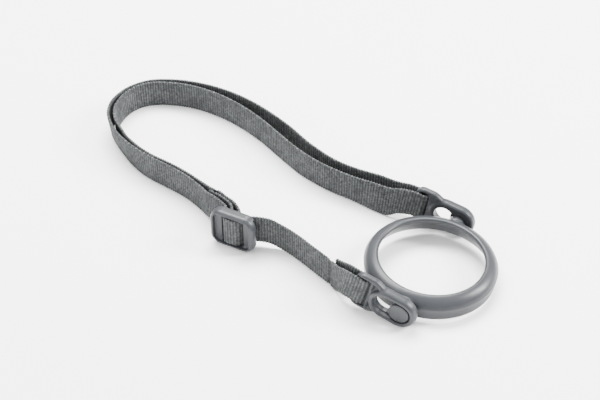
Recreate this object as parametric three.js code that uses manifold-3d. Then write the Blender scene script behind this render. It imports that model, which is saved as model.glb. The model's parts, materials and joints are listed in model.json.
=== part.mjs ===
// Adjustable carry strap with a moulded bottle ring.
// A ring with two opposite studs hangs between two keyhole clips, and one length of
// 20 mm webbing runs from a sewn loop on the slider, round the rear clip, back through
// the slider and on to a sewn hem on the front clip.
// Millimetres, +Z up, everything lying on the plane z = 0.
// Inside the strap frame, X runs from the strap loop to the ring, Y lies along the stud axis
// and the ring's centre is over X = 0, Y = 0.

import * as THREE from 'three';
import { mergeVertices } from 'three/addons/utils/BufferGeometryUtils.js';
import Module from 'manifold-3d';

const wasm = await Module();
wasm.setup();

// Driving dimensions
const WEB_WIDTH = 20;
const WEB_THICK = 1.8;
const GAP = 0.3;
const STUD_AXIS_Z = 10;
const RING_TILT = 2.2;
const FRONT_PITCH = 13;
const REAR_PITCH = 9;

// Where the strap frame's origin lies in the part's own frame
const RING_X = 109;
const RING_Y = -20.5;

// Ring
const RING_OUTER = 40.4;
const RING_WIDEST = 1;
const RING_FOOT_OUTER = 39.4;
const RING_TOP_OUTER = 39.6;
const RING_TOP_INNER = 31.6;
const RING_FOOT_INNER = 38.4;
const RING_HEIGHT = 15.2;
const RING_FOOT = -8.4;
const RING_EDGE = 2.4;
const RING_LIP = 1.6;
const BOSS_R = 5.5;
const BOSS_END = 42;
const STUD_NECK_R = 3.3;
const STUD_HEAD_R = 6.4;
const STUD_HEAD_START = 45.6;
const STUD_HEAD_END = 48;

// Clips, in u along the clip (ring end positive), v across it and w outwards from the ring
const CLIP_R = 10;
const KEYHOLE_TRAVEL = 9.6;
const ENTRY_R = 6.9;
const KEY_SLOT_R = 3.6;
const PLATE_IN = BOSS_END + GAP;
const PLATE_OUT = 45.3;
const COLLAR_OUT = 48.3;
const COLLAR_IN_R = 7.2;
const COLLAR_ROUND = 1;
const FRAME_HALF = 13;
const FRAME_START = -19.5;
const FRAME_END = -31;
const FRAME_CORNER = 5.5;
const SLOT_START = -21.3;
const SLOT_END = -28;
const SLOT_HALF = 10.6;
const SLOT_CORNER = 1.8;
const PLATE_ROUND = 0.8;
const LOOP_MID_W = 43.8;
const LOOP_R = 2.7;
const LOOP_BEND_U = -25.5;
const LOOP_END_U = -31;
const RUN_END_X = -31.6;

// Slider, in s along the strap, v up and n outwards (-Y) from its webbing plane
const SLIDER_X = -118.2;
const SLIDER_Y = -29.8;
const SLIDER_Z = 13.2;
const SLIDER_LENGTH = 30.8;
const SLIDER_HEIGHT = 26.2;
const SLIDER_CORNER = 7.5;
const SLIDER_BACK = -2.6;
const SLIDER_FRONT = 6;
const SLIDER_ROUND = 1.5;
const WINDOW_HALF = 7.4;
const WINDOW_HALF_V = 10.6;
const RECESS_HALF = 11.6;
const RECESS_FLOOR = 2.6;
const BAR_HALF = 1.5;
const BAR_BACK = -1.6;
const BAR_FRONT = 0.6;
const SLIDER_LIFT = SLIDER_Z - WEB_WIDTH / 2;

// Where the free runs start and finish climbing, in X, and the Y that parts the near runs from the far
const LEFT_CLIMB_START = -154;
const LEFT_CLIMB_END = -135;
const RIGHT_CLIMB_END = -101;
const RIGHT_CLIMB_START = -86;
const FRONT_CLIMB_START = -48;
const REAR_CLIMB_START = -47;
const NEAR_LIMIT = 15;

// Stitching
const STITCH_THICK = 0.5;
const STITCH_HEIGHT = 16;
const STITCH_LOW = 2;
const TAIL_STITCH = [[-142.4, -10.2], [-141, -10.75]];
const HEM_STITCH = [[-50.6, -35.8], [-49.4, -36.45]];

const plastic = () => new THREE.MeshStandardMaterial({ color: 0x8c8e92, roughness: 0.42, metalness: 0 });
const webbing = () => new THREE.MeshStandardMaterial({ color: 0x6f7274, roughness: 0.9, metalness: 0 });
const thread = () => new THREE.MeshStandardMaterial({ color: 0x66696b, roughness: 0.8, metalness: 0 });

function node(name, geometry, material) {
  const mesh = new THREE.Mesh(geometry, material);
  mesh.name = name;
  return mesh;
}

// Booleans

function solid(geometry) {
  const bare = geometry.clone();
  bare.deleteAttribute('normal');
  bare.deleteAttribute('uv');
  const merged = mergeVertices(bare, 1e-4);
  return new wasm.Manifold(new wasm.Mesh({
    numProp: 3,
    vertProperties: new Float32Array(merged.attributes.position.array),
    triVerts: new Uint32Array(merged.index.array),
  }));
}

function toGeometry(manifold) {
  const mesh = manifold.getMesh();
  const geometry = new THREE.BufferGeometry();
  geometry.setAttribute('position', new THREE.BufferAttribute(new Float32Array(mesh.vertProperties), 3));
  geometry.setIndex(new THREE.BufferAttribute(new Uint32Array(mesh.triVerts), 1));
  geometry.computeVertexNormals();
  return geometry;
}

function block(low, high) {
  const size = new THREE.Vector3().subVectors(high, low);
  const middle = new THREE.Vector3().addVectors(low, high).multiplyScalar(0.5);
  return solid(new THREE.BoxGeometry(size.x, size.y, size.z).translate(middle.x, middle.y, middle.z));
}

// Shapes

function stadium(shape, from, to, radius) {
  shape.absarc(to, 0, radius, -Math.PI / 2, Math.PI / 2, false);
  shape.absarc(from, 0, radius, Math.PI / 2, 1.5 * Math.PI, false);
  shape.closePath();
  return shape;
}

function roundedRect(shape, x0, x1, halfHeight, corner) {
  shape.absarc(x1 - corner, -halfHeight + corner, corner, -Math.PI / 2, 0, false);
  shape.absarc(x1 - corner, halfHeight - corner, corner, 0, Math.PI / 2, false);
  shape.absarc(x0 + corner, halfHeight - corner, corner, Math.PI / 2, Math.PI, false);
  shape.absarc(x0 + corner, -halfHeight + corner, corner, Math.PI, 1.5 * Math.PI, false);
  shape.closePath();
  return shape;
}

// A slab of a shape between two heights, its rim rounded by the bevel
function slab(shape, low, high, round, curveSegments = 8) {
  const geometry = new THREE.ExtrudeGeometry(shape, {
    depth: high - low - 2 * round,
    bevelEnabled: round > 0,
    bevelThickness: round,
    bevelSize: round,
    bevelOffset: -round,
    bevelSegments: 2,
    curveSegments,
  });
  return geometry.translate(0, 0, low + round);
}

// Webbing standing on edge along a plan route, its width drawn up from z = 0
function ribbon(route, thickness = WEB_THICK, width = WEB_WIDTH, step = 4) {
  const curve = new THREE.CatmullRomCurve3(route.map(([x, y]) => new THREE.Vector3(x, y, 0)));
  const section = new THREE.Shape();
  section.moveTo(-width / 2, -thickness / 2);
  section.lineTo(width / 2, -thickness / 2);
  section.lineTo(width / 2, thickness / 2);
  section.lineTo(-width / 2, thickness / 2);
  const steps = Math.max(3, Math.ceil(curve.getLength() / step));
  const geometry = new THREE.ExtrudeGeometry(section, { steps, extrudePath: curve, bevelEnabled: false });
  return geometry.translate(0, 0, width / 2);
}

// Lifts and shears a ribbon where the strap climbs to a clip or to the slider
function shapeRun(geometry, move) {
  const position = geometry.attributes.position;
  const point = new THREE.Vector3();
  for (let i = 0; i < position.count; i += 1) {
    point.fromBufferAttribute(position, i);
    move(point);
    position.setXYZ(i, point.x, point.y, point.z);
  }
  position.needsUpdate = true;
  geometry.computeVertexNormals();
  return geometry;
}

const climb = (x, low, high) => THREE.MathUtils.smoothstep(x, low, high);

// How far the webbing's lower edge stands off the ground where it enters a clip
function clipLift(pitch) {
  const angle = THREE.MathUtils.degToRad(pitch);
  return STUD_AXIS_Z - LOOP_END_U * Math.sin(angle) - (WEB_WIDTH / 2) * Math.cos(angle);
}

function climbToClip(pitch, from) {
  const angle = THREE.MathUtils.degToRad(pitch);
  return (point) => {
    const share = climb(point.x, from, RUN_END_X - 1);
    point.x += (point.z - WEB_WIDTH / 2) * Math.tan(angle) * share;
    point.z += clipLift(pitch) * share;
  };
}

// Ring with its two studs

function ringProfile() {
  const top = RING_FOOT + RING_HEIGHT;
  const points = [];
  const corner = (cx, cz, radius, from, to) => {
    const steps = 3;
    for (let i = 0; i <= steps; i += 1) {
      const angle = THREE.MathUtils.degToRad(from + ((to - from) * i) / steps);
      points.push(new THREE.Vector2(cx + radius * Math.cos(angle), cz + radius * Math.sin(angle)));
    }
  };
  points.push(new THREE.Vector2(RING_FOOT_INNER, RING_FOOT));
  points.push(new THREE.Vector2(RING_FOOT_OUTER, RING_FOOT));
  points.push(new THREE.Vector2(RING_OUTER, RING_WIDEST));
  corner(RING_TOP_OUTER - RING_EDGE, top - RING_EDGE, RING_EDGE, 0, 90);
  corner(RING_TOP_INNER + RING_LIP, top - RING_LIP, RING_LIP, 90, 180);
  points.push(points[0].clone());
  return points;
}

function bottleRing() {
  const body = solid(new THREE.LatheGeometry(ringProfile(), 80).rotateX(Math.PI / 2));
  const clearance = new THREE.CylinderGeometry(RING_FOOT_INNER, RING_FOOT_INNER, 2 * RING_OUTER, 80);
  const bore = solid(clearance.rotateX(Math.PI / 2));
  const stud = (side) => {
    const turned = (radius, from, to) => solid(
      new THREE.CylinderGeometry(radius, radius, to - from, 28).translate(0, side * (from + to) / 2, 0),
    );
    const boss = turned(BOSS_R, RING_FOOT_INNER - 2, BOSS_END).subtract(bore);
    return boss
      .add(turned(STUD_NECK_R, BOSS_END - 1, STUD_HEAD_START + 1))
      .add(turned(STUD_HEAD_R, STUD_HEAD_START, STUD_HEAD_END));
  };
  return toGeometry(body.add(stud(1)).add(stud(-1)));
}

// Clip

function clipOutline() {
  const shape = new THREE.Shape();
  const shoulder = -KEYHOLE_TRAVEL - 1;
  const middle = (shoulder + FRAME_START) / 2;
  const cornerU = FRAME_END + FRAME_CORNER;
  const cornerV = FRAME_HALF - FRAME_CORNER;
  shape.absarc(0, 0, CLIP_R, -Math.PI / 2, Math.PI / 2, false);
  shape.lineTo(shoulder, CLIP_R);
  shape.bezierCurveTo(middle, CLIP_R, middle, FRAME_HALF, FRAME_START, FRAME_HALF);
  shape.absarc(cornerU, cornerV, FRAME_CORNER, Math.PI / 2, Math.PI, false);
  shape.absarc(cornerU, -cornerV, FRAME_CORNER, Math.PI, 1.5 * Math.PI, false);
  shape.lineTo(FRAME_START, -FRAME_HALF);
  shape.bezierCurveTo(middle, -FRAME_HALF, middle, -CLIP_R, shoulder, -CLIP_R);
  shape.closePath();
  shape.holes.push(roundedRect(new THREE.Path(), SLOT_END, SLOT_START, SLOT_HALF, SLOT_CORNER));
  return shape;
}

function clipBody() {
  const plate = solid(slab(clipOutline(), PLATE_IN, PLATE_OUT, PLATE_ROUND));
  const rim = stadium(new THREE.Shape(), -KEYHOLE_TRAVEL, 0, CLIP_R);
  const collar = solid(slab(rim, PLATE_IN, COLLAR_OUT, COLLAR_ROUND, 12));
  const pocket = stadium(new THREE.Shape(), -KEYHOLE_TRAVEL, 0, COLLAR_IN_R);
  const keySlot = stadium(new THREE.Shape(), -KEYHOLE_TRAVEL, 0, KEY_SLOT_R);
  const entry = new THREE.Shape().absarc(-KEYHOLE_TRAVEL, 0, ENTRY_R, 0, 2 * Math.PI, false);
  const cut = (shape, low, high) => solid(slab(shape, low, high, 0, 12));
  return toGeometry(
    plate
      .add(collar)
      .subtract(cut(pocket, PLATE_OUT, COLLAR_OUT + 2))
      .subtract(cut(keySlot, PLATE_IN - 2, PLATE_OUT + 1))
      .subtract(cut(entry, PLATE_IN - 2, PLATE_OUT + 1)),
  );
}

// The webbing bent round a clip's end bar, side = -1 at the front clip and 1 at the rear
function clipLoop(side) {
  const route = [];
  const outer = LOOP_MID_W + LOOP_R;
  const inner = LOOP_MID_W - LOOP_R;
  route.push([LOOP_END_U, side * outer], [(LOOP_END_U + LOOP_BEND_U) / 2, side * outer]);
  for (let i = 0; i <= 6; i += 1) {
    const angle = (Math.PI * i) / 6;
    const u = LOOP_BEND_U + LOOP_R * Math.sin(angle);
    route.push([u, side * (LOOP_MID_W + LOOP_R * Math.cos(angle))]);
  }
  route.push([(LOOP_END_U + LOOP_BEND_U) / 2, side * inner], [LOOP_END_U, side * inner]);
  return ribbon(route, WEB_THICK, WEB_WIDTH, 1).translate(0, 0, -WEB_WIDTH / 2);
}

function clipGroup(side, pitch, clipName, loopName) {
  const group = new THREE.Group();
  group.position.z = STUD_AXIS_Z;
  group.rotation.y = THREE.MathUtils.degToRad(pitch);
  const body = node(clipName, clipBody(), plastic());
  body.rotation.x = (-side * Math.PI) / 2;
  group.add(body, node(loopName, clipLoop(side), webbing()));
  return group;
}

// Slider with the webbing that rides on it

function sliderBody() {
  const half = SLIDER_LENGTH / 2;
  const box = (s, v, low, high) => block(new THREE.Vector3(-s, -v, low), new THREE.Vector3(s, v, high));
  const outline = roundedRect(new THREE.Shape(), -half, half, SLIDER_HEIGHT / 2, SLIDER_CORNER);
  const recess = roundedRect(new THREE.Shape(), -RECESS_HALF, RECESS_HALF, WINDOW_HALF_V, 3);
  const frame = solid(slab(outline, SLIDER_BACK, SLIDER_FRONT, SLIDER_ROUND))
    .subtract(solid(slab(recess, RECESS_FLOOR, SLIDER_FRONT + 2, 0)))
    .subtract(box(WINDOW_HALF, WINDOW_HALF_V, SLIDER_BACK - 2, SLIDER_FRONT + 2))
    .subtract(box(SLIDER_LENGTH, WINDOW_HALF_V, SLIDER_BACK - 2, 0));
  return toGeometry(frame.add(box(BAR_HALF, WINDOW_HALF_V + 1, BAR_BACK, BAR_FRONT)));
}

// Routes inside the slider, as s and n pairs
const PASS_ROUTE = [
  [-14.7, -8.5], [-11, -6.8], [-8.5, -4.9], [-6.9, -2.6], [-6.2, -0.2], [-5.9, 2], [-5, 3.5],
  [-2.8, 4.2], [0, 4.25], [2.4, 4.1], [4, 3.2], [4.85, 1.6], [4.95, -0.2],
];
const BAR_LOOP_ROUTE = [
  [-14.7, -14.3], [-9, -12.6], [-4, -9.8], [-0.6, -6.9], [1.6, -4.2], [2.75, -1.6], [2.75, 0.2],
  [1.9, 1.6], [0, 2], [-1.9, 1.5], [-2.8, 0.1], [-3.5, -2.6], [-5.4, -6.4], [-9, -10], [-14.7, -12.1],
];

function sliderGroup() {
  const group = new THREE.Group();
  group.position.set(SLIDER_X, SLIDER_Y, SLIDER_Z);
  const body = node('slider', sliderBody(), plastic());
  body.rotation.x = Math.PI / 2;
  const inside = (route) => ribbon(route.map(([s, n]) => [s, -n]), WEB_THICK, WEB_WIDTH, 1.2)
    .translate(0, 0, -WEB_WIDTH / 2);
  group.add(
    body,
    node('slider_pass', inside(PASS_ROUTE), webbing()),
    node('slider_loop', inside(BAR_LOOP_ROUTE), webbing()),
  );
  return group;
}

// Free runs of the strap, as plan points of the webbing's middle line

const INNER_ROUTE = [
  [-133.3, -15.4], [-138, -13.2], [-146, -10.7], [-156, -7], [-166, -4], [-176, -1.6],
  [-187, 0.2], [-198, 1.6], [-208, 4.2], [-216, 7.6], [-224.3, 11.8], [-232.7, 17.8],
  [-242.1, 26.3], [-249.3, 35.8], [-253, 45.6], [-253.6, 55], [-250.6, 64.5], [-243.9, 72],
  [-234, 77.2],
  [-221, 80.9], [-207, 82], [-190, 80.5], [-173, 76.3], [-156, 70], [-136, 60.4],
  [-116, 51], [-100, 46], [-86, 43.4], [-72, 42.2], [-58, 41.2], [-46, 40.6],
  [-38, 40.8], [RUN_END_X, 41.1],
];
const OUTER_ROUTE = [
  [RUN_END_X, 46.5], [-36, 47.4], [-42, 49.4], [-49, 51], [-57, 51.6], [-73, 50.9], [-90, 52.6],
  [-112, 60.2], [-136, 72.2], [-160, 81.5], [-182, 86.8], [-203, 88], [-221, 85.6], [-234, 81.3],
  [-247.6, 73], [-255.4, 60.5], [-257.6, 47.6], [-256.2, 38], [-250.4, 27.6], [-240, 18.2],
  [-230, 11.5], [-219, 5.9], [-208, 1.8], [-197, -0.8], [-187, -2.3], [-177, -4],
  [-166, -6.6], [-154, -11.3], [-146, -15.9], [-141, -18], [-137.2, -19.6], [-133.3, -21.2],
];
const TAIL_ROUTE = [[-133.3, -17.6], [-137, -16.3], [-141, -15], [-146, -13.2]];
const FRONT_ROUTE = [
  [-102.2, -24.4], [-98, -22], [-90, -21.1], [-82, -22.6], [-74, -25.2], [-67, -28],
  [-58, -31.4], [-50, -34.5], [-43.5, -38.9], [-38.5, -42.5], [-34.5, -45.2], [RUN_END_X, -46.3],
];
const FLAP_ROUTE = [[-47.4, -32], [-43, -34.2], [-38, -37.4], [-34.3, -39.8], [RUN_END_X, -40.9]];

// The free runs rise to the slider's slot height and up to each clip
function climbToSlider(point) {
  const left = climb(point.x, LEFT_CLIMB_START, LEFT_CLIMB_END);
  const right = 1 - climb(point.x, RIGHT_CLIMB_END, RIGHT_CLIMB_START);
  const side = point.x < SLIDER_X ? left : right;
  point.z += SLIDER_LIFT * side;
}

function frontRun(point) {
  climbToSlider(point);
  climbToClip(FRONT_PITCH, FRONT_CLIMB_START)(point);
}

function rearRun(point) {
  if (point.y > NEAR_LIMIT) climbToClip(REAR_PITCH, REAR_CLIMB_START)(point);
  else climbToSlider(point);
}

// A short bar of thread across the webbing, parallel to it and just off its face
function stitchRow([[x0, y0], [x1, y1]]) {
  const row = ribbon([[x0, y0], [(x0 + x1) / 2, (y0 + y1) / 2], [x1, y1]], STITCH_THICK, STITCH_HEIGHT);
  return row.translate(0, 0, STITCH_LOW);
}

function freeRuns() {
  return [
    node('inner_run', shapeRun(ribbon(INNER_ROUTE), rearRun), webbing()),
    node('outer_run', shapeRun(ribbon(OUTER_ROUTE), rearRun), webbing()),
    node('slider_tail', shapeRun(ribbon(TAIL_ROUTE), climbToSlider), webbing()),
    node('front_run', shapeRun(ribbon(FRONT_ROUTE), frontRun), webbing()),
    node('front_flap', shapeRun(ribbon(FLAP_ROUTE), frontRun), webbing()),
    node('tail_stitching', shapeRun(stitchRow(TAIL_STITCH), climbToSlider), thread()),
    node('hem_stitching', shapeRun(stitchRow(HEM_STITCH), frontRun), thread()),
  ];
}

// Assembly

const strap = new THREE.Group();
strap.position.set(RING_X, RING_Y, 0);
const ring = node('bottle_ring', bottleRing(), plastic());
ring.position.z = STUD_AXIS_Z;
ring.rotation.y = THREE.MathUtils.degToRad(RING_TILT);
strap.add(ring);
strap.add(clipGroup(-1, FRONT_PITCH, 'front_clip', 'front_loop'));
strap.add(clipGroup(1, REAR_PITCH, 'rear_clip', 'rear_loop'));
strap.add(sliderGroup());
strap.add(...freeRuns());

const group = new THREE.Group();
group.add(strap);

export default group;
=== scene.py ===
"""Carry strap of ribbed webbing with a moulded bottle ring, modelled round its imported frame."""

import json
import math
from functools import partial

import bpy
import numpy as np
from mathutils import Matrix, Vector


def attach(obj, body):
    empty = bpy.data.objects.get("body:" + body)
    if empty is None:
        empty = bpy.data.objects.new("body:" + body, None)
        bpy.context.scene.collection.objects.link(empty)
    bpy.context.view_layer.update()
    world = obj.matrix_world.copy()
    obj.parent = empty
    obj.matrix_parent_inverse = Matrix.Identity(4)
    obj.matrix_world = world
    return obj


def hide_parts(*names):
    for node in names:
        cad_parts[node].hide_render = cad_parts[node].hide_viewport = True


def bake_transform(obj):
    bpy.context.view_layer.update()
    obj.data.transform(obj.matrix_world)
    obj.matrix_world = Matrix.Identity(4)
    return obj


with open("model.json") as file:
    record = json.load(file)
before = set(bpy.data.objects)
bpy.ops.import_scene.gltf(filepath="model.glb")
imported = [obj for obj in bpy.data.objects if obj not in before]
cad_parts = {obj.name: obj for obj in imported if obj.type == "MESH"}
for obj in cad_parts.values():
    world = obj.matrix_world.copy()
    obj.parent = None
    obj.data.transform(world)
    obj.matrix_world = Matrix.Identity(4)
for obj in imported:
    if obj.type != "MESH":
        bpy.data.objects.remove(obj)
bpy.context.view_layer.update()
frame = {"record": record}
MM = 0.001

# ---------------------------------------------------------------- camera

VIEW_AZIMUTH = math.radians(27.7)
VIEW_ELEVATION = math.radians(40)
VIEW_DISTANCE = 0.7796
LOOK_AT = Vector((0.0066, 0.0061, 0.0))
LENS = 72
SENSOR = 36


def make_camera():
    data = bpy.data.cameras.new("camera")
    data.lens = LENS
    data.sensor_width = SENSOR
    data.clip_start = 0.01
    camera = bpy.data.objects.new("camera", data)
    away = Vector((
        math.sin(VIEW_AZIMUTH) * math.cos(VIEW_ELEVATION),
        -math.cos(VIEW_AZIMUTH) * math.cos(VIEW_ELEVATION),
        math.sin(VIEW_ELEVATION),
    ))
    camera.location = LOOK_AT + away * VIEW_DISTANCE
    camera.rotation_euler = (-away).to_track_quat("-Z", "Y").to_euler()
    bpy.context.scene.collection.objects.link(camera)
    bpy.context.scene.camera = camera


make_camera()

# ---------------------------------------------------------------- dimensions, in mm
# The strap frame has X from the strap loop to the ring, Y along the stud axis, and the
# ring's centre over X = 0, Y = 0.

JOINTS = {joint["name"]: joint for joint in frame["record"]["behaviour"]["joints"]}
RING_X, RING_Y, STUD_AXIS_Z = (c / MM for c in JOINTS["ring_pivot"]["pos_m"])
RING_TILT = 2.2
FRONT_PITCH = 13
REAR_PITCH = 9

WEB_HALF = 10
WEB_THICK = 1.8
RIB_PITCH = 1.9
RIB_DEPTH = 0.3
SCALLOP = 0.36
YARN_PITCH = 1.25

RING_TOP = 6.8
STEP_Z = 3.4
STEP_DEPTH = 0.5
RING_FOOT = -8.4
RING_OUTER = 40.4
RING_WIDEST = 1
RING_TOP_OUTER = 39.6
RING_FOOT_OUTER = 39.4
RING_TOP_INNER = 31.6
RING_FOOT_INNER = 38.4
BOSS_R = 5.5
BOSS_END = 42
STUD_NECK_R = 3.3
STUD_HEAD_R = 6.4
STUD_HEAD_START = 45.6
STUD_HEAD_END = 48

CLIP_R = 10
KEYHOLE_TRAVEL = 9.6
ENTRY_R = 6.5
KEY_SLOT_R = 3.6
PLATE_IN = 42.3
PLATE_OUT = 45.3
COLLAR_OUT = 48.3
COLLAR_IN_R = 7.2
FRAME_HALF = 13
FRAME_START = -19.5
FRAME_END = -31
FRAME_CORNER = 5.5
SLOT_START = -21.7
SLOT_END = -28
SLOT_HALF = 10.6
SLOT_CORNER = 1.8
LOOP_MID_W = 43.8
LOOP_R = 2.7
LOOP_BEND_U = -25.3
LOOP_END_U = -31
RUN_END_X = -31.6

SLIDER_X = -118.2
SLIDER_Y = -29.8
SLIDER_Z = 13.2
SLIDER_HALF_S = 15.4
SLIDER_HALF_V = 13.1
SLIDER_CORNER = 7.5
SLIDER_BACK = -2.6
SLIDER_FRONT = 6
WINDOW_HALF = 7.4
WINDOW_HALF_V = 10.6
RECESS_HALF = 12.2
RECESS_FLOOR = 2.6
BAR_HALF = 1.5
BAR_BACK = -1.6
BAR_FRONT = 0.6

# ---------------------------------------------------------------- materials


def new_material(name):
    material = bpy.data.materials.new(name)
    material.use_nodes = True
    nodes = material.node_tree.nodes
    return material, nodes, material.node_tree.links, nodes["Principled BSDF"]


def colour_ramp(nodes, stops):
    ramp = nodes.new("ShaderNodeValToRGB")
    elements = ramp.color_ramp.elements
    while len(elements) < len(stops):
        elements.new(0.5)
    for element, (position, colour) in zip(elements, stops):
        element.position = position
        element.color = (*colour, 1)
    return ramp


def noise(nodes, links, source, scale, detail=3, roughness=0.5):
    texture = nodes.new("ShaderNodeTexNoise")
    texture.inputs["Scale"].default_value = scale
    texture.inputs["Detail"].default_value = detail
    texture.inputs["Roughness"].default_value = roughness
    links.new(source, texture.inputs["Vector"])
    return texture.outputs["Fac"]


def maths(nodes, links, operation, first, second=None, third=None):
    node = nodes.new("ShaderNodeMath")
    node.operation = operation
    for socket, value in zip(node.inputs, (first, second, third)):
        if value is None:
            continue
        if isinstance(value, (int, float)):
            socket.default_value = value
        else:
            links.new(value, socket)
    return node.outputs[0]


def colour_by(nodes, links, shader, level, stops):
    ramp = colour_ramp(nodes, stops)
    links.new(level, ramp.inputs["Fac"])
    links.new(ramp.outputs["Color"], shader.inputs["Base Color"])


def bump_by(nodes, links, shader, height, strength, distance):
    bump = nodes.new("ShaderNodeBump")
    bump.inputs["Strength"].default_value = strength
    bump.inputs["Distance"].default_value = distance
    links.new(height, bump.inputs["Height"])
    links.new(bump.outputs["Normal"], shader.inputs["Normal"])


PLASTIC_DARK = (0.024, 0.0255, 0.0287)
PLASTIC_LIGHT = (0.032, 0.034, 0.0377)
WEB_DARK = (0.014, 0.0148, 0.0153)
WEB_MID = (0.039, 0.0415, 0.0423)
WEB_LIGHT = (0.108, 0.1135, 0.115)
THREAD_DARK = (0.008, 0.0085, 0.009)
THREAD_LIGHT = (0.02, 0.021, 0.022)

# Noise scales, in cells to the metre
PLASTIC_CLOUD = 45
PLASTIC_GLOSS = 160
PLASTIC_GRAIN = 2600
WEB_CLOUD = 70
WEB_YARNS = 520
WEB_FUZZ = 1500
THREAD_TWIST = 2200

# How much each pattern moves the webbing's colour
KNOT_SHARE = 0.13
RIB_SHARE = 0.15
FUZZ_SHARE = 0.7
YARN_SHARE = 1.0
CLOUD_SHARE = 0.4
FUZZ_RELIEF = 0.35


def plastic_material():
    material, nodes, links, shader = new_material("satin_plastic")
    place = nodes.new("ShaderNodeTexCoord").outputs["Object"]
    cloud = noise(nodes, links, place, PLASTIC_CLOUD, detail=4)
    colour_by(nodes, links, shader, cloud, [(0.3, PLASTIC_DARK), (0.72, PLASTIC_LIGHT)])
    gloss = nodes.new("ShaderNodeMapRange")
    gloss.inputs["To Min"].default_value = 0.28
    gloss.inputs["To Max"].default_value = 0.39
    links.new(noise(nodes, links, place, PLASTIC_GLOSS, detail=4), gloss.inputs["Value"])
    links.new(gloss.outputs["Result"], shader.inputs["Roughness"])
    grain = noise(nodes, links, place, PLASTIC_GRAIN, detail=2)
    bump_by(nodes, links, shader, grain, strength=0.16, distance=0.00006)
    shader.inputs["Specular IOR Level"].default_value = 0.27
    return material


def webbing_material():
    """Yarns in a brick pattern, one column to a rib, from the ribbon's own length and height."""
    material, nodes, links, shader = new_material("ribbed_webbing")
    calc = partial(maths, nodes, links)
    coordinates = nodes.new("ShaderNodeUVMap")
    coordinates.uv_map = "weave"
    split = nodes.new("ShaderNodeSeparateXYZ")
    links.new(coordinates.outputs["UV"], split.inputs["Vector"])
    along, across = split.outputs["X"], split.outputs["Y"]
    turn = 2 * math.pi

    column = calc("DIVIDE", along, RIB_PITCH * MM)
    offset = calc("MULTIPLY", calc("FLOOR", column), 0.5)
    row = calc("ADD", calc("DIVIDE", across, YARN_PITCH * MM), offset)
    wave = calc("COSINE", calc("MULTIPLY", row, turn))
    rib = calc("MULTIPLY", calc("COSINE", calc("MULTIPLY", column, turn)), -1)
    knots = calc("MULTIPLY_ADD", wave, KNOT_SHARE, 0.5)
    knots = calc("MULTIPLY_ADD", rib, RIB_SHARE, knots)

    place = nodes.new("ShaderNodeTexCoord").outputs["Object"]
    fuzz = noise(nodes, links, place, WEB_FUZZ, detail=3, roughness=0.65)
    yarns = noise(nodes, links, place, WEB_YARNS, detail=2, roughness=0.6)
    cloud = noise(nodes, links, place, WEB_CLOUD)
    level = knots
    for texture, share in ((fuzz, FUZZ_SHARE), (yarns, YARN_SHARE), (cloud, CLOUD_SHARE)):
        level = calc("MULTIPLY_ADD", calc("SUBTRACT", texture, 0.5), share, level)
    colour_by(nodes, links, shader, level, [(0.1, WEB_DARK), (0.5, WEB_MID), (0.95, WEB_LIGHT)])

    relief = calc("MULTIPLY_ADD", fuzz, FUZZ_RELIEF, knots)
    bump_by(nodes, links, shader, relief, strength=0.75, distance=0.00025)
    shader.inputs["Roughness"].default_value = 0.82
    shader.inputs["Specular IOR Level"].default_value = 0.12
    shader.inputs["Sheen Weight"].default_value = 0.03
    shader.inputs["Sheen Roughness"].default_value = 0.5
    return material


def thread_material():
    material, nodes, links, shader = new_material("sewing_thread")
    place = nodes.new("ShaderNodeTexCoord").outputs["Object"]
    twist = noise(nodes, links, place, THREAD_TWIST, detail=3, roughness=0.6)
    colour_by(nodes, links, shader, twist, [(0.35, THREAD_DARK), (0.7, THREAD_LIGHT)])
    bump_by(nodes, links, shader, twist, strength=0.5, distance=0.0001)
    shader.inputs["Roughness"].default_value = 0.6
    return material


PLASTIC = plastic_material()
WEBBING = webbing_material()
THREAD = thread_material()

# ---------------------------------------------------------------- meshes


def add_mesh(name, points, faces, material):
    """A smooth-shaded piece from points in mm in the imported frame."""
    mesh = bpy.data.meshes.new(name)
    mesh.from_pydata(np.asarray(points, float) * MM, [], faces)
    mesh.materials.append(material)
    mesh.polygons.foreach_set("use_smooth", [True] * len(mesh.polygons))
    mesh.update()
    piece = bpy.data.objects.new(name, mesh)
    bpy.context.scene.collection.objects.link(piece)
    return piece


# Moulded shapes are distance fields, negative inside, turned into quads that are then
# settled onto the field's zero surface.

NEWTON_STEPS = 3
NUDGE = 0.02
LEAST_SLOPE = 0.25


def round_max(a, b, radius):
    """Intersection with a rounded edge."""
    corner = np.hypot(np.maximum(a + radius, 0), np.maximum(b + radius, 0))
    return np.minimum(np.maximum(a, b), -radius) + corner


def round_min(a, b, radius):
    """Union with a filleted edge."""
    corner = np.hypot(np.maximum(radius - a, 0), np.maximum(radius - b, 0))
    return np.maximum(np.minimum(a, b), radius) - corner


def rounded_box(x, y, half_x, half_y, corner):
    qx = np.abs(x) - half_x + corner
    qy = np.abs(y) - half_y + corner
    outside = np.hypot(np.maximum(qx, 0), np.maximum(qy, 0))
    return outside + np.minimum(np.maximum(qx, qy), 0) - corner


def stadium(x, y, start, end, radius):
    return np.hypot(x - np.clip(x, start, end), y) - radius


def between(z, low, high):
    return np.maximum(low - z, z - high)


def smoothstep(x, low, high):
    t = np.clip((x - low) / (high - low), 0, 1)
    return t * t * (3 - 2 * t)


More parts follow.
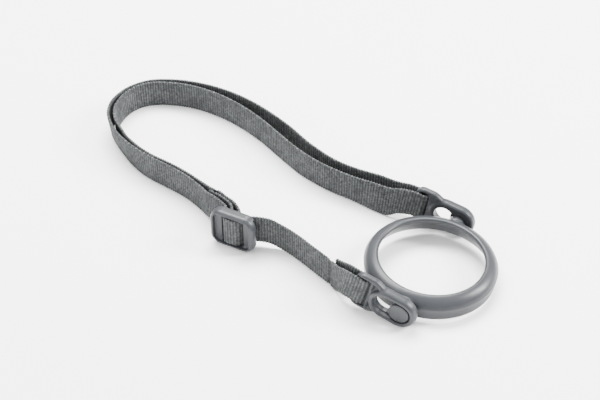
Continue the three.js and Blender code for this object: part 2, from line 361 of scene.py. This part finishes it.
def surface_net(field, low, step):
    """One vertex for each grid cell that the surface crosses, one quad for each crossed edge."""
    inside = field < 0
    corners = np.array([(i, j, k) for i in (0, 1) for j in (0, 1) for k in (0, 1)])
    nx, ny, nz = np.array(field.shape) - 1
    count = np.zeros((nx, ny, nz), int)
    for i, j, k in corners:
        count += inside[i:i + nx, j:j + ny, k:k + nz]
    cells = np.argwhere((count > 0) & (count < 8))
    number = np.full((nx, ny, nz), -1)
    number[tuple(cells.T)] = np.arange(len(cells))
    values = np.stack([field[tuple((cells + c).T)] for c in corners], 1)
    total = np.zeros((len(cells), 3))
    hits = np.zeros(len(cells))
    for a in range(8):
        for b in range(a + 1, 8):
            if np.abs(corners[a] - corners[b]).sum() != 1:
                continue
            crossed = (values[:, a] < 0) != (values[:, b] < 0)
            share = values[crossed, a] / (values[crossed, a] - values[crossed, b])
            total[crossed] += corners[a] + share[:, None] * (corners[b] - corners[a])
            hits[crossed] += 1
    points = low + step * (cells + total / hits[:, None])
    quads = []
    for axis in range(3):
        one, two = (axis + 1) % 3, (axis + 2) % 3
        here = np.take(inside, range(0, field.shape[axis] - 1), axis)
        after = np.take(inside, range(1, field.shape[axis]), axis)
        for flip, changed in ((False, here & ~after), (True, ~here & after)):
            edges = np.argwhere(changed)
            ring = []
            for back_one, back_two in ((1, 1), (0, 1), (0, 0), (1, 0)):
                cell = edges.copy()
                cell[:, one] -= back_one
                cell[:, two] -= back_two
                ring.append(number[tuple(cell.T)])
            quad = np.stack(ring, 1)
            quads.append(quad[:, ::-1] if flip else quad)
    return points, np.vstack(quads)


def moulded(shape, low, high, step):
    low, high = np.array(low, float), np.array(high, float)
    axes = [np.arange(a, b + step, step) for a, b in zip(low, high)]
    field = shape(*np.meshgrid(*axes, indexing="ij"))
    points, quads = surface_net(field, low, step)
    for _ in range(NEWTON_STEPS):
        value = shape(*points.T)
        slope = np.stack([
            (shape(*(points + NUDGE * unit).T) - shape(*(points - NUDGE * unit).T)) / (2 * NUDGE)
            for unit in np.eye(3)
        ], 1)
        move = value[:, None] * slope / np.maximum((slope ** 2).sum(1), LEAST_SLOPE)[:, None]
        points = points - np.clip(move, -step / 2, step / 2)
    return points, quads.tolist()


def to_packed(points):
    """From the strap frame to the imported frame, both in mm."""
    return np.asarray(points) + (RING_X, RING_Y, 0)


def pitched(points, degrees):
    """Points with z measured from the stud axis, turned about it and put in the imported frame."""
    angle = math.radians(degrees)
    x, y, z = np.asarray(points).T
    turned = (
        x * math.cos(angle) + z * math.sin(angle),
        y,
        STUD_AXIS_Z - x * math.sin(angle) + z * math.cos(angle),
    )
    return to_packed(np.stack(turned, 1))


# ---------------------------------------------------------------- ring

RING_STEP = 0.5
RING_EDGE = 4.2
RING_LIP = 2
FOOT_ROUND = 0.5
INNER_STEP_BLEND = 0.3
INNER_ROUND = 1.2
BOSS_START = RING_FOOT_INNER - 0.2
BOSS_EDGE = 0.6
HEAD_EDGE = 0.55
NECK_FILLET = 0.5
HEAD_FILLET = 0.4
BOSS_FILLET = 1.0
NECK_OVERLAP = 1


def leaning_wall(radius, z, low, high):
    """Distance outside a conical wall through two (height, radius) points."""
    slope = (high[1] - low[1]) / (high[0] - low[0])
    return (radius - low[1] - slope * (z - low[0])) / math.hypot(1, slope)


def ring_shape(x, y, z):
    radius = np.hypot(x, y)
    foot, widest = (RING_FOOT, RING_FOOT_OUTER), (RING_WIDEST, RING_OUTER)
    lower = leaning_wall(radius, z, foot, widest)
    upper = leaning_wall(radius, z, widest, (RING_TOP - RING_EDGE, RING_TOP_OUTER))
    inner_foot, inner_top = (RING_FOOT, RING_FOOT_INNER), (RING_TOP - RING_LIP, RING_TOP_INNER)
    inner = -leaning_wall(radius, z, inner_foot, inner_top)
    above_step = smoothstep(z, STEP_Z - INNER_STEP_BLEND, STEP_Z + INNER_STEP_BLEND)
    inner += STEP_DEPTH * (1 - above_step)
    section = round_max(np.maximum(lower, upper), z - RING_TOP, RING_EDGE)
    bore = round_max(inner, RING_TOP_INNER - radius, INNER_ROUND)
    section = round_max(section, bore, RING_LIP)
    section = round_max(section, RING_FOOT - z, FOOT_ROUND)

    side = np.abs(y)
    off_axis = np.hypot(x, z)
    boss = round_max(off_axis - BOSS_R, between(side, BOSS_START, BOSS_END), BOSS_EDGE)
    neck_span = between(side, BOSS_END - NECK_OVERLAP, STUD_HEAD_START + NECK_OVERLAP)
    neck = np.maximum(off_axis - STUD_NECK_R, neck_span)
    head_span = between(side, STUD_HEAD_START, STUD_HEAD_END)
    head = round_max(off_axis - STUD_HEAD_R, head_span, HEAD_EDGE)
    stud = round_min(round_min(boss, neck, NECK_FILLET), head, HEAD_FILLET)
    return round_min(section, stud, BOSS_FILLET)


def make_ring():
    reach = STUD_HEAD_END + 1
    half = RING_OUTER + 1
    low, high = (-half, -reach, RING_FOOT - 1), (half, reach, RING_TOP + 1)
    points, quads = moulded(ring_shape, low, high, RING_STEP)
    ring = add_mesh("moulded_ring", pitched(points, RING_TILT), quads, PLASTIC)
    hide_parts("bottle_ring")
    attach(ring, "ring")


# ---------------------------------------------------------------- clips

CLIP_STEP = 0.24
RAIL_OUT = 46.7
RAIL_WIDTH = 2.9
RAIL_START = -20.8
RAIL_END = -26
BOW_START = -17
FLARE_END = -KEYHOLE_TRAVEL - 1
WEB_FLOOR = 45.3
HOLLOW_START = RAIL_START + 1.6
PLATE_EDGE = 1.45
WEB_ROOM_EDGE = 0.9
HOLLOW_BASE = 1.4
HOLLOW_EDGE = 1.3
SLOT_EDGE = 0.7
COLLAR_EDGE = 1.5
COLLAR_FILLET = 1.4
POCKET_EDGE = 0.8
KEY_NECK_ROUND = 0.8
KEY_EDGE = 0.4


def clip_shape(u, v, w):
    """u along the clip, v across it, w outwards from the ring."""
    widening = 1 - smoothstep(u, FRAME_START, FLARE_END)
    flare = CLIP_R + (FRAME_HALF - CLIP_R) * widening
    rails = np.maximum(np.abs(v) - flare, between(u, RAIL_END, -KEYHOLE_TRAVEL))
    middle = (FRAME_END + BOW_START) / 2
    bow = rounded_box(u - middle, v, middle - FRAME_END, FRAME_HALF, FRAME_CORNER)
    rim = stadium(u, v, -KEYHOLE_TRAVEL, 0, CLIP_R)
    outline = np.minimum(np.minimum(rails, bow), rim)
    plate = round_max(outline, between(w, PLATE_IN, RAIL_OUT), PLATE_EDGE)

    webbing_room = np.maximum(u - RAIL_START, np.abs(v) - SLOT_HALF)
    plate = round_max(plate, -np.maximum(webbing_room, PLATE_OUT - w), WEB_ROOM_EDGE)
    hollow = np.maximum(outline + RAIL_WIDTH, HOLLOW_START - u)
    plate = round_max(plate, -round_max(hollow, WEB_FLOOR - w, HOLLOW_BASE), HOLLOW_EDGE)
    slot_middle = (SLOT_END + SLOT_START) / 2
    slot = rounded_box(u - slot_middle, v, slot_middle - SLOT_END, SLOT_HALF, SLOT_CORNER)
    body = round_max(plate, -slot, SLOT_EDGE)

    collar = round_max(rim, between(w, PLATE_IN, COLLAR_OUT), COLLAR_EDGE)
    body = round_min(body, collar, COLLAR_FILLET)
    pocket = np.maximum(stadium(u, v, -KEYHOLE_TRAVEL, 0, COLLAR_IN_R), PLATE_OUT - w)
    body = round_max(body, -pocket, POCKET_EDGE)
    key_slot = stadium(u, v, -KEYHOLE_TRAVEL, 0, KEY_SLOT_R)
    entry = np.hypot(u + KEYHOLE_TRAVEL, v) - ENTRY_R
    return round_max(body, -round_min(key_slot, entry, KEY_NECK_ROUND), KEY_EDGE)


def make_clip(side, pitch, body, name):
    low = (FRAME_END - 1, -FRAME_HALF - 1, PLATE_IN - 1)
    high = (CLIP_R + 1, FRAME_HALF + 1, COLLAR_OUT + 1)
    points, quads = moulded(clip_shape, low, high, CLIP_STEP)
    u, v, w = points.T
    placed = pitched(np.stack((u, side * w, v), 1), pitch)
    faces = [quad[::-1] for quad in quads] if side > 0 else quads
    clip = add_mesh(name, placed, faces, PLASTIC)
    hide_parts(body)
    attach(clip, body)


# ---------------------------------------------------------------- slider

SLIDER_STEP = 0.24
SLIDER_FRONT_EDGE = 4
SLIDER_BACK_EDGE = 1.8
RECESS_CORNER = 3.4
RECESS_BASE = 1.9
RECESS_EDGE = 1.4
WINDOW_CORNER = 1.2
WINDOW_EDGE = 0.6
CHANNEL_EDGE = 0.5
BAR_EDGE = 0.8
BAR_ROOT = 1
BAR_FILLET = 0.4


def slider_shape(s, v, n):
    """s along the strap, v up, n outwards."""
    outline = rounded_box(s, v, SLIDER_HALF_S, SLIDER_HALF_V, SLIDER_CORNER)
    body = round_max(outline, n - SLIDER_FRONT, SLIDER_FRONT_EDGE)
    body = round_max(body, SLIDER_BACK - n, SLIDER_BACK_EDGE)
    rim = rounded_box(s, v, RECESS_HALF, WINDOW_HALF_V, RECESS_CORNER)
    recess = round_max(rim, RECESS_FLOOR - n, RECESS_BASE)
    body = round_max(body, -recess, RECESS_EDGE)
    window = rounded_box(s, v, WINDOW_HALF, WINDOW_HALF_V, WINDOW_CORNER)
    body = round_max(body, -window, WINDOW_EDGE)
    channel = np.maximum(np.abs(v) - WINDOW_HALF_V, n)
    body = round_max(body, -channel, CHANNEL_EDGE)
    bar = round_max(np.abs(s) - BAR_HALF, between(n, BAR_BACK, BAR_FRONT), BAR_EDGE)
    bar = np.maximum(bar, np.abs(v) - WINDOW_HALF_V - BAR_ROOT)
    return round_min(body, bar, BAR_FILLET)


def make_slider():
    low = (-SLIDER_HALF_S - 1, -SLIDER_HALF_V - 1, SLIDER_BACK - 1)
    high = (SLIDER_HALF_S + 1, SLIDER_HALF_V + 1, SLIDER_FRONT + 1)
    points, quads = moulded(slider_shape, low, high, SLIDER_STEP)
    s, v, n = points.T
    placed = to_packed(np.stack((SLIDER_X + s, SLIDER_Y - n, SLIDER_Z + v), 1))
    slider = add_mesh("tri_glide_slider", placed, quads, PLASTIC)
    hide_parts("slider")
    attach(slider, "slider")


# ---------------------------------------------------------------- webbing routes
# Free routes are x, y in the strap frame. Slider routes are s along the strap and n outwards,
# from the slider's middle.

INNER_ROUTE = [
    (-133.3, -15.4), (-138, -13.2), (-146, -10.7), (-156, -7), (-166, -4), (-176, -1.6),
    (-187, 0.2), (-198, 1.6), (-208, 4.2), (-216, 7.6), (-224.3, 11.8), (-232.7, 17.8),
    (-243.3, 25.5), (-250.7, 35.2), (-253.5, 45.6), (-253.6, 55), (-250.6, 64.5), (-243.9, 72),
    (-234, 77.2), (-221, 80.9), (-207, 82), (-190, 80.5), (-173, 76.3), (-156, 70), (-136, 60.4),
    (-116, 51), (-100, 46), (-86, 43.4), (-72, 42.2), (-58, 41.2), (-46, 40.6), (-38, 40.8),
]
OUTER_ROUTE = [
    (-36, 47.4), (-42, 49.4), (-49, 51), (-57, 51.6), (-73, 50.9), (-90, 52.6), (-112, 60.2),
    (-136, 72.2), (-160, 81.5), (-182, 86.8), (-203, 88), (-221, 85.6), (-234, 81.3), (-247.6, 73),
    (-255.4, 60.5), (-257.6, 47.6), (-256.2, 38), (-250.4, 27.6), (-240, 18.2), (-230, 11.5),
    (-219, 5.9), (-208, 1.8), (-197, -0.8), (-187, -2.3), (-177, -4), (-166, -6.6), (-154, -11.3),
    (-146, -15.9), (-141, -18), (-137.2, -19.6),
]
TAIL_ROUTE = [
    (-137, -16.3), (-141, -15), (-146, -13.2),
]
FRONT_ROUTE = [
    (-98, -22), (-90, -21.1), (-82, -22.6), (-74, -25.2), (-67, -28), (-58, -31.4), (-50, -34.5),
    (-43.5, -38.9), (-38.5, -42.5), (-34.5, -45.2),
]
FLAP_ROUTE = [
    (-34.3, -39.8), (-38, -37.4), (-43, -34.2), (-47.4, -32),
]
PASS_ROUTE = [
    (-14.7, -8.5), (-11, -6.8), (-8.5, -4.9), (-6.9, -2.6), (-6.2, -0.2), (-5.9, 2), (-5, 3.5),
    (-2.8, 4.2), (0, 4.25), (2.4, 4.1), (4, 3.2), (4.85, 1.6), (4.95, -0.2),
]
PASS_EXIT = [(6.2, -2.2), (9.6, -4.4)]
BAR_LOOP_ROUTE = [
    (-14.7, -14.3), (-9, -12.6), (-4, -9.8), (-0.6, -6.9), (1.6, -4.2), (2.75, -1.6), (2.75, 0.2),
    (1.9, 1.6), (0, 2), (-1.9, 1.5), (-2.8, 0.1), (-3.5, -2.6), (-5.4, -6.4), (-9, -10),
    (-14.7, -12.1),
]

# Where the webbing climbs to a clip and to the slider, as spans of x
CLIP_CLIMB = (-48, RUN_END_X - 1)
LEFT_CLIMB = (-154, -135)
RIGHT_CLIMB = (-101, -86)
SLIDER_LIFT = SLIDER_Z - WEB_HALF

# Where the webbing's top tips out of the loop, in degrees: round the near left end, and
# beside the rear clip. LOOP_SPINE is the line down the loop's middle that it tips away from.
LOOP_SPINE = ((-215, 45), (-60, 10))
BEHIND = 15
INNER_TIP = 8
OUTER_TIP = 10
NEAR_END_X = (-236, -200)
NEAR_END_Y = (14, 42)
REAR_TIP_SHARE = 1.7
REAR_TIP_RISE = (-72, -50)
REAR_TIP_FALL = (-46, -32)
REAR_SIDE = (BEHIND, 30)


def free_point(x, y, tip=0):
    """A control row for a free route's point: x, y, the webbing's middle height, the lean of its
    width along X and the tip of its top out of the loop, both in degrees."""
    pitch = REAR_PITCH if y > BEHIND else FRONT_PITCH
    share = float(smoothstep(x, *CLIP_CLIMB))
    z = WEB_HALF - LOOP_END_U * math.sin(math.radians(pitch)) * share
    if y < BEHIND:
        left = smoothstep(x, *LEFT_CLIMB)
        right = 1 - smoothstep(x, *RIGHT_CLIMB)
        z += SLIDER_LIFT * float(left if x < SLIDER_X else right)
    near_end = (1 - smoothstep(x, *NEAR_END_X)) * (1 - smoothstep(y, *NEAR_END_Y))
    rear_end = smoothstep(x, *REAR_TIP_RISE) * (1 - smoothstep(x, *REAR_TIP_FALL))
    rear_end *= smoothstep(y, *REAR_SIDE)
    return (x, y, z, pitch * share, tip * float(near_end + REAR_TIP_SHARE * rear_end))


def free_run(route, tip=0):
    return [free_point(x, y, tip) for x, y in route]


def slider_run(route):
    return [(SLIDER_X + s, SLIDER_Y - n, SLIDER_Z, 0, 0) for s, n in route]


CLIP_TURNS = 6
STRAIGHT = 1.5


def clip_run(side, pitch):
    """Round a clip's end bar, from the leg away from the ring to the leg beside it."""
    angle = math.radians(pitch)
    steps = [(LOOP_END_U + STRAIGHT, LOOP_R), (LOOP_BEND_U - STRAIGHT, LOOP_R)]
    for i in range(CLIP_TURNS + 1):
        turn = math.pi * i / CLIP_TURNS
        steps.append((LOOP_BEND_U + LOOP_R * math.sin(turn), LOOP_R * math.cos(turn)))
    steps += [(LOOP_BEND_U - STRAIGHT, -LOOP_R), (LOOP_END_U + STRAIGHT, -LOOP_R)]
    return [
        (u * math.cos(angle), side * (LOOP_MID_W + w), STUD_AXIS_Z - u * math.sin(angle), pitch, 0)
        for u, w in steps
    ]


# ---------------------------------------------------------------- webbing

FINE = 24
RIB_SAMPLES = 4
FACE_COLUMNS = 13
EDGE_STEPS = 3
FLAT_SHARE = 0.96
PINCH_REACH = 1.1
PINCH_DEPTH = 0.72


def smooth_route(controls, step):
    """Centripetal Catmull-Rom through the control points, sampled at even lengths."""
    rows = np.array(controls, float)
    rows = np.vstack([2 * rows[0] - rows[1], rows, 2 * rows[-1] - rows[-2]])
    span = np.sqrt(np.linalg.norm(np.diff(rows[:, :3], axis=0), axis=1))
    t = np.linspace(0, 1, FINE, endpoint=False)[:, None]
    parts = []
    for i in range(1, len(rows) - 2):
        a, b, c, d = rows[i - 1:i + 3]
        before, here, after = span[i - 1:i + 2]
        leave = ((b - a) / before - (c - a) / (before + here) + (c - b) / here) * here
        arrive = ((c - b) / here - (d - b) / (here + after) + (d - c) / after) * here
        parts.append(
            (2 * t ** 3 - 3 * t ** 2 + 1) * b + (t ** 3 - 2 * t ** 2 + t) * leave
            + (3 * t ** 2 - 2 * t ** 3) * c + (t ** 3 - t ** 2) * arrive
        )
    dense = np.vstack(parts + [rows[-2:-1]])
    strides = np.linalg.norm(np.diff(dense[:, :3], axis=0), axis=1)
    length = np.concatenate([[0], np.cumsum(strides)])
    ribs = round(length[-1] / step)
    places = np.linspace(0, length[-1], ribs * RIB_SAMPLES + 1)
    return places, np.stack([np.interp(places, length, column) for column in dense.T], 1)


def section_ring():
    """Half-width and half-thickness shares round the webbing's section, anticlockwise."""
    face = np.linspace(-FLAT_SHARE, FLAT_SHARE, FACE_COLUMNS)
    edge = np.linspace(0, math.pi, EDGE_STEPS + 2)[1:-1]
    top = [(FLAT_SHARE + (1 - FLAT_SHARE) * math.sin(a), math.cos(a)) for a in edge]
    ring = [(h, 1.0) for h in face] + top
    ring += [(-h, -n) for h, n in ring]
    return np.array(ring)


def unit(vectors):
    return vectors / np.linalg.norm(vectors, axis=1)[:, None]


def width_and_face(middle, lean, tip):
    """Unit vectors along the webbing's width and out of its face, its top tipped off the spine."""
    width = np.stack((np.sin(lean), np.zeros_like(lean), np.cos(lean)), 1)
    ahead = unit(np.gradient(middle, axis=0))
    face = unit(np.cross(ahead, width))
    x, y = middle[:, 0], middle[:, 1]
    spine_y = np.interp(x, *zip(*LOOP_SPINE))
    spine_x = np.clip(x, LOOP_SPINE[0][0], LOOP_SPINE[1][0])
    outward = np.sign(face[:, 0] * (x - spine_x) + face[:, 1] * (y - spine_y))
    aside = face * outward[:, None]
    width = width * np.cos(tip)[:, None] + aside * np.sin(tip)[:, None]
    return width, unit(np.cross(ahead, width))


def ribbed_halves(places, middle, phase, pinches):
    """Half the width and half the thickness at each sample, less between ribs and at pinches."""
    valley = 0.5 + 0.5 * np.cos(2 * math.pi * phase)
    half_width = WEB_HALF - SCALLOP * valley
    half_thick = WEB_THICK / 2 - RIB_DEPTH * valley
    for x, y in pinches:
        stitched = places[np.argmin(np.hypot(middle[:, 0] - x, middle[:, 1] - y))]
        drawn = np.exp(-((places - stitched) / PINCH_REACH) ** 2)
        half_width = half_width - SCALLOP * drawn
        half_thick = half_thick * (1 - PINCH_DEPTH * drawn)
    return half_width, half_thick


def map_weave(piece, lengths, heights):
    """The weave's coordinates, in metres along and across the webbing."""
    weave = piece.data.uv_layers.new(name="weave")
    flat = np.stack((np.repeat(lengths, len(heights)), np.tile(heights, len(lengths))), 1) * MM
    corners = np.empty(len(piece.data.loops), int)
    piece.data.loops.foreach_get("vertex_index", corners)
    weave.data.foreach_set("uv", flat[corners].ravel())


def make_webbing(name, controls, replaced, pinches=()):
    """A ribbed ribbon along its control rows, drawn in where a pinch names a stitched place."""
    places, samples = smooth_route(controls, RIB_PITCH)
    middle = samples[:, :3]
    width, face = width_and_face(middle, np.radians(samples[:, 3]), np.radians(samples[:, 4]))
    phase = np.arange(len(places)) / RIB_SAMPLES
    half_width, half_thick = ribbed_halves(places, middle, phase, pinches)
    ring = section_ring()
    points = (
        middle[:, None, :]
        + width[:, None, :] * (half_width[:, None] * ring[:, 0])[:, :, None]
        + face[:, None, :] * (half_thick[:, None] * ring[:, 1])[:, :, None]
    )
    rows, columns = points.shape[:2]
    index = np.arange(rows * columns).reshape(rows, columns)
    after = np.roll(index, -1, 1)
    quads = np.stack((index[:-1], index[1:], after[1:], after[:-1]), 2).reshape(-1, 4)
    faces = quads.tolist() + [index[0].tolist(), index[-1][::-1].tolist()]
    piece = add_mesh(name, to_packed(points.reshape(-1, 3)), faces, WEBBING)
    map_weave(piece, phase * RIB_PITCH, ring[:, 0] * WEB_HALF)
    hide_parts(*replaced)
    return piece


# Where the free routes are cut between two pieces
INNER_SPLIT = -166
OUTER_SPLIT = -166
FRONT_SPLIT = -74

# The outer run tips out of the loop only from this control point on
OUTER_TIP_FROM = 12


def index_of(route, x):
    return [point[0] for point in route].index(x)


# ---------------------------------------------------------------- stitching

HEM_STITCH = (-50, -34.5)
HEM_HEADING = -31
TAIL_STITCH = (-141.6, -12.1)
TAIL_STITCH_BACK = (-141, -15)
TAIL_HEADING = -18
STITCH_LENGTH = 2.6
STITCH_STEP = 3
STITCH_R = 0.42
STITCH_ROW = 8.4
STITCH_DIP = 0.45
STITCH_OUT = WEB_THICK / 4 + 0.15
STITCH_SIDES = 8
STITCH_RINGS = 9
END_ROUND = 6
END_OPEN = 0.03


def stitch(centre, up, out):
    """One thread loop lying on the webbing, its ends dipping in."""
    sides, rings = STITCH_SIDES, STITCH_RINGS
    aside = np.cross(up, out)
    points = []
    for i in range(rings):
        t = 2 * i / (rings - 1) - 1
        radius = STITCH_R * math.sqrt(max(1 - t ** END_ROUND, END_OPEN))
        middle = centre + up * t * STITCH_LENGTH / 2 - out * STITCH_DIP * t * t
        for k in range(sides):
            turn = 2 * math.pi * k / sides
            points.append(middle + radius * (out * math.cos(turn) + aside * math.sin(turn)))
    faces = []
    for i in range(rings - 1):
        here, above = i * sides, (i + 1) * sides
        for k in range(sides):
            after = (k + 1) % sides
            faces.append([here + k, here + after, above + after, above + k])
    last = (rings - 1) * sides
    faces += [list(range(sides))[::-1], list(range(last, last + sides))]
    return points, faces


def make_stitches(name, place, heading, side, replaced):
    """A row of stitches across the webbing at a plan point, on its left (1) or right (-1) face."""
    turn = math.radians(heading)
    out = side * np.array((-math.sin(turn), math.cos(turn), 0))
    up = np.array((0.0, 0.0, 1.0))
    middle_z = free_point(*place)[2]
    points, faces = [], []
    for height in np.arange(-STITCH_ROW, STITCH_ROW, STITCH_STEP):
        centre = np.array((*place, middle_z + height)) + out * STITCH_OUT
        more, ring = stitch(centre, up, out)
        faces += [[i + len(points) for i in face] for face in ring]
        points += more
    piece = add_mesh(name, to_packed(points), faces, THREAD)
    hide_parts(replaced)
    return piece


# ---------------------------------------------------------------- making everything


def make_strap():
    inner_cut = index_of(INNER_ROUTE, INNER_SPLIT)
    outer_cut = index_of(OUTER_ROUTE, OUTER_SPLIT)
    front_cut = index_of(FRONT_ROUTE, FRONT_SPLIT)
    hump = index_of(PASS_ROUTE, 0)
    loop = free_run(INNER_ROUTE[inner_cut:], INNER_TIP) + clip_run(1, REAR_PITCH)[::-1]
    loop += free_run(OUTER_ROUTE[:OUTER_TIP_FROM])
    loop += free_run(OUTER_ROUTE[OUTER_TIP_FROM:outer_cut + 1], OUTER_TIP)
    piece = make_webbing("loop_webbing", loop, ("inner_run", "rear_loop", "outer_run"))
    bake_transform(piece)

    left = free_run(OUTER_ROUTE[outer_cut:]) + slider_run(PASS_ROUTE[:hump + 1])
    piece = make_webbing("slider_entry_webbing", left, ())
    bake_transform(piece)

    right = slider_run(PASS_ROUTE[hump:] + PASS_EXIT) + free_run(FRONT_ROUTE[:front_cut + 1])
    piece = make_webbing("slider_exit_webbing", right, ("slider_pass",))
    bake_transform(piece)

    stack = free_run(INNER_ROUTE[1:inner_cut + 1][::-1]) + slider_run(BAR_LOOP_ROUTE)
    stack += free_run(TAIL_ROUTE)
    pinches = (TAIL_STITCH, TAIL_STITCH_BACK)
    piece = make_webbing("bar_loop_webbing", stack, ("slider_loop", "slider_tail"), pinches)
    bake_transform(piece)

    front = free_run(FRONT_ROUTE[front_cut:]) + clip_run(-1, FRONT_PITCH) + free_run(FLAP_ROUTE)
    nodes = ("front_run", "front_loop", "front_flap")
    piece = make_webbing("front_webbing", front, nodes, (HEM_STITCH,))
    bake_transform(piece)


def make_stitching():
    hem = make_stitches("hem_stitches", HEM_STITCH, HEM_HEADING, -1, "hem_stitching")
    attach(hem, "strap")
    tail = make_stitches("tail_stitches", TAIL_STITCH, TAIL_HEADING, 1, "tail_stitching")
    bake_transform(tail)


make_ring()
make_clip(-1, FRONT_PITCH, "front_clip", "front_snap_clip")
make_clip(1, REAR_PITCH, "rear_clip", "rear_snap_clip")
make_slider()
make_strap()
make_stitching()

# ---------------------------------------------------------------- stage

FLOOR_REACH = 4
FLOOR_Z = -0.0001
FLOOR_WHITE = 0.96


def make_stage():
    mesh = bpy.data.meshes.new("floor")
    reach = FLOOR_REACH
    corners = [(-reach, -reach, 0), (reach, -reach, 0), (reach, reach, 0), (-reach, reach, 0)]
    mesh.from_pydata(corners, [], [(0, 1, 2, 3)])
    floor = bpy.data.objects.new("floor", mesh)
    floor.location.z = FLOOR_Z
    material, _, _, shader = new_material("pale_floor")
    shader.inputs["Base Color"].default_value = (FLOOR_WHITE, FLOOR_WHITE, FLOOR_WHITE, 1)
    shader.inputs["Roughness"].default_value = 0.9
    mesh.materials.append(material)
    bpy.context.scene.collection.objects.link(floor)


def soft_light(name, place, size, power):
    """An area light aimed at the origin; place and size in metres, power in watts."""
    data = bpy.data.lights.new(name, "AREA")
    data.shape = "RECTANGLE"
    data.size, data.size_y = size
    data.energy = power
    light = bpy.data.objects.new(name, data)
    light.location = place
    light.rotation_euler = Vector(place).to_track_quat("Z", "Y").to_euler()
    bpy.context.scene.collection.objects.link(light)


# Level directions as the camera sees them
RIGHTWARD = Vector((math.cos(VIEW_AZIMUTH), math.sin(VIEW_AZIMUTH), 0))
AWAY = Vector((-math.sin(VIEW_AZIMUTH), math.cos(VIEW_AZIMUTH), 0))
UP = Vector((0, 0, 1))


def make_light():
    world = bpy.data.worlds.new("studio")
    world.use_nodes = True
    background = world.node_tree.nodes["Background"]
    background.inputs["Color"].default_value = (1, 1, 1, 1)
    background.inputs["Strength"].default_value = 1.5
    bpy.context.scene.world = world
    soft_light("right_box", RIGHTWARD * 1.1 + UP * 0.75, (0.3, 0.6), 44)
    soft_light("overhead", AWAY * 0.55 + UP * 1.2 - RIGHTWARD * 0.1, (1.1, 0.6), 84)
    soft_light("left_fill", -RIGHTWARD * 0.9 - AWAY * 0.6 + UP * 0.7, (0.8, 0.8), 8)


make_stage()
make_light()
